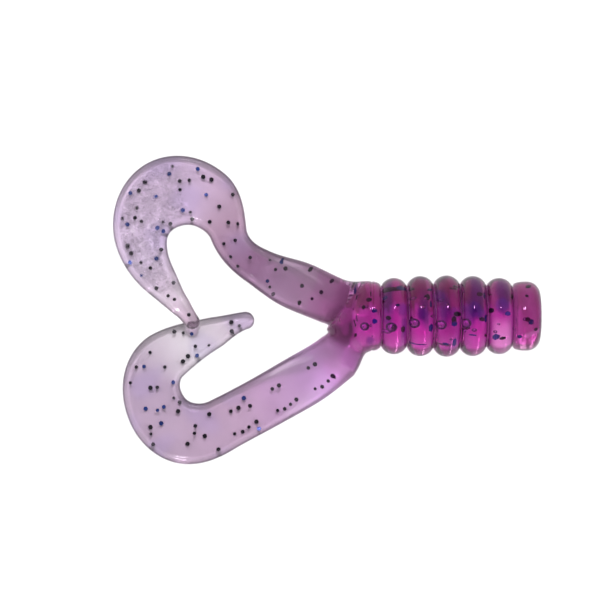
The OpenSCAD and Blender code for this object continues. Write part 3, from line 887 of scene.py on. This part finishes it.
def makeBubbleMaterial(cloudGroup):
    material = bpy.data.materials.new("trappedAir")
    material.use_nodes = True
    tree = material.node_tree
    shader = tree.nodes["Principled BSDF"]
    shader.inputs["Transmission Weight"].default_value = 1
    shader.inputs["IOR"].default_value = airLook["ior"]
    shader.inputs["Roughness"].default_value = airLook["roughness"]
    cloud = addNode(tree, "ShaderNodeGroup")
    cloud.node_tree = cloudGroup
    cloud.inputs["Colour"].default_value = (*airLook["clear"], 1)
    for label in ("Cloud Size", "Cloud Strength"):
        cloud.inputs[label].default_value = airLook[label]
    # Painted shade: the rim of a bubble is painted as a dark ring, where a real bubble turns the light away
    facing = addNode(tree, "ShaderNodeLayerWeight")
    pastRim = maths(tree, "SUBTRACT", facing.outputs["Facing"], airLook["rimFrom"])
    rimShade = maths(tree, "MULTIPLY", pastRim, airLook["rimSharpness"], clamp=True)
    ring = addNode(tree, "ShaderNodeMix", data_type="RGBA")
    ring.inputs[7].default_value = (*airLook["rimShade"], 1)
    tree.links.new(rimShade, ring.inputs[0])
    tree.links.new(cloud.outputs["Colour"], ring.inputs[6])
    tree.links.new(ring.outputs[2], shader.inputs["Base Color"])
    return material


def buildBubbleTree(material):
    tree, given, out = newGeometryTree("airBubbles", {"Count": 4, "Seed": 1, "Low X": 0.0, "Low Y": 0.0,
        "Low Z": 0.0, "High X": 1.0, "High Y": 1.0, "High Z": 1.0, **bubbles, "Surface": material})
    size = {s.name: s for s in given.outputs}
    line = addNode(tree, "GeometryNodeMeshLine")
    tree.links.new(size["Count"], line.inputs["Count"])
    low, high = addNode(tree, "ShaderNodeCombineXYZ"), addNode(tree, "ShaderNodeCombineXYZ")
    for k, axis in enumerate("XYZ"):
        tree.links.new(size["Low " + axis], low.inputs[k])
        tree.links.new(size["High " + axis], high.inputs[k])
    place = addNode(tree, "FunctionNodeRandomValue", data_type="FLOAT_VECTOR")
    tree.links.new(low.outputs[0], place.inputs[0])
    tree.links.new(high.outputs[0], place.inputs[1])
    tree.links.new(size["Seed"], place.inputs["Seed"])
    move = addNode(tree, "GeometryNodeSetPosition")
    tree.links.new(line.outputs[0], move.inputs["Geometry"])
    tree.links.new(place.outputs[0], move.inputs["Position"])
    ball = addNode(tree, "GeometryNodeMeshIcoSphere")
    ball.inputs["Radius"].default_value = 1
    ball.inputs["Subdivisions"].default_value = 3
    scale = addNode(tree, "FunctionNodeRandomValue", data_type="FLOAT")
    tree.links.new(size["Smallest"], scale.inputs[2])
    tree.links.new(size["Largest"], scale.inputs[3])
    tree.links.new(size["Seed"], scale.inputs["Seed"])
    copies = addNode(tree, "GeometryNodeInstanceOnPoints")
    tree.links.new(move.outputs[0], copies.inputs["Points"])
    tree.links.new(ball.outputs[0], copies.inputs["Instance"])
    tree.links.new(scale.outputs[1], copies.inputs["Scale"])
    real = addNode(tree, "GeometryNodeRealizeInstances")
    paint = addNode(tree, "GeometryNodeSetMaterial")
    tree.links.new(copies.outputs[0], real.inputs[0])
    tree.links.new(real.outputs[0], paint.inputs["Geometry"])
    tree.links.new(size["Surface"], paint.inputs["Material"])
    tree.links.new(paint.outputs[0], out.inputs[0])
    return tree


trappedAir = makeBubbleMaterial(cloudGroup)
bubbleTree = buildBubbleTree(trappedAir)


def addBubbles(name, body, count, seed, low, high, sizes):
    corners = {"Low " + axis: float(v) for axis, v in zip("XYZ", low)}
    corners.update({"High " + axis: float(v) for axis, v in zip("XYZ", high)})
    inputs = {"Count": count, "Seed": seed, **corners, **sizes, "Surface": trappedAir}
    mesh = bakeTree(name, bubbleTree, inputs)
    mesh.name = name
    points = np.zeros(len(mesh.vertices) * 3)
    mesh.vertices.foreach_get("co", points)
    mesh.vertices.foreach_set("co", points * millimetre)
    mesh.shade_smooth()
    piece = bpy.data.objects.new(name, mesh)
    bpy.context.scene.collection.objects.link(piece)
    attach(piece, body)


for name, body, count, seed, low, high in bubbleGroups:
    addBubbles(name, body, count, seed, low, high, bubbles)
for name, body, spot in largeBubbles:
    addBubbles(name, body, 1, 1, spot, spot, largeBubble)
print("bubbles made")


# Floor, light and camera
studio = {
    "floor": 0.92,                         # brightness of the paper
    "floorSize": 1.2, "floorGap": 0.00003,
    "floorRoughness": 0.8,
    "paperClear": 0.75,                    # how far the camera sees through it
    "world": 1.2,                          # soft light from all round
    "dimming": 1.05,                       # how much dimmer it is straight overhead
    "opening": (0.84, 0.1),                # where overhead begins, and how softly
    "lamp": 0.8, "lampSize": 0.06, "lampDistance": 0.5, "lampTilt": 26,
    "lampAim": (-0.03, 0, 0),
    "cameraHeight": 0.4,
    "field": 0.084,                        # width of the view
    "look": (-0.0336, 0.00224),
}


def makeStudio():
    mesh = bpy.data.meshes.new("floor")
    half, z = studio["floorSize"] / 2, ribbon["floor"] * millimetre - studio["floorGap"]
    corners = [(-half, -half, z), (half, -half, z), (half, half, z), (-half, half, z)]
    mesh.from_pydata(corners, [], [(0, 1, 2, 3)])
    floor = bpy.data.objects.new("floor", mesh)
    bpy.context.scene.collection.objects.link(floor)
    paper = bpy.data.materials.new("palePaper")
    paper.use_nodes = True
    paperTree = paper.node_tree
    shader = paperTree.nodes["Principled BSDF"]
    shader.inputs["Base Color"].default_value = (studio["floor"], studio["floor"], studio["floor"], 1)
    shader.inputs["Roughness"].default_value = studio["floorRoughness"]
    # The camera sees mostly through the paper, so a tail bent below it stays in view
    clear = addNode(paperTree, "ShaderNodeBsdfTransparent")
    path = addNode(paperTree, "ShaderNodeLightPath")
    mix = addNode(paperTree, "ShaderNodeMixShader")
    seen = maths(paperTree, "MULTIPLY", path.outputs["Is Camera Ray"], studio["paperClear"])
    paperTree.links.new(seen, mix.inputs[0])
    paperTree.links.new(shader.outputs[0], mix.inputs[1])
    paperTree.links.new(clear.outputs[0], mix.inputs[2])
    paperTree.links.new(mix.outputs[0], paperTree.nodes["Material Output"].inputs["Surface"])
    mesh.materials.append(paper)
    world = bpy.data.worlds.new("studio")
    world.use_nodes = True
    # Soft light comes from all round, and the opening overhead is dim
    tree = world.node_tree
    upward = addNode(tree, "ShaderNodeSeparateXYZ")
    tree.links.new(addNode(tree, "ShaderNodeTexCoord").outputs["Generated"], upward.inputs[0])
    start, softness = studio["opening"]
    overhead = maths(tree, "DIVIDE", maths(tree, "SUBTRACT", upward.outputs[2], start), softness, clamp=True)
    strength = maths(tree, "SUBTRACT", studio["world"], maths(tree, "MULTIPLY", overhead, studio["dimming"]))
    tree.nodes["Background"].inputs["Color"].default_value = (1, 1, 1, 1)
    tree.links.new(strength, tree.nodes["Background"].inputs["Strength"])
    bpy.context.scene.world = world
    lamp = bpy.data.lights.new("softLamp", "AREA")
    lamp.energy = studio["lamp"]
    lamp.size = studio["lampSize"]
    lampObject = bpy.data.objects.new("softLamp", lamp)
    tilt = math.radians(studio["lampTilt"])
    aim = Vector(studio["lampAim"])
    lampObject.location = aim + Vector((0, math.sin(tilt), math.cos(tilt))) * studio["lampDistance"]
    lampObject.rotation_euler = (lampObject.location - aim).to_track_quat("Z", "Y").to_euler()
    bpy.context.scene.collection.objects.link(lampObject)
    camera = bpy.data.cameras.new("camera")
    camera.sensor_width = 36
    camera.lens = camera.sensor_width * studio["cameraHeight"] / studio["field"]
    camera.clip_start = 0.01
    cameraObject = bpy.data.objects.new("camera", camera)
    cameraObject.location = (*studio["look"], studio["cameraHeight"])
    bpy.context.scene.collection.objects.link(cameraObject)
    bpy.context.scene.camera = cameraObject
    bpy.context.scene.view_settings.view_transform = "Standard"


makeStudio()
print("studio ready")

bpy.context.view_layer.update()
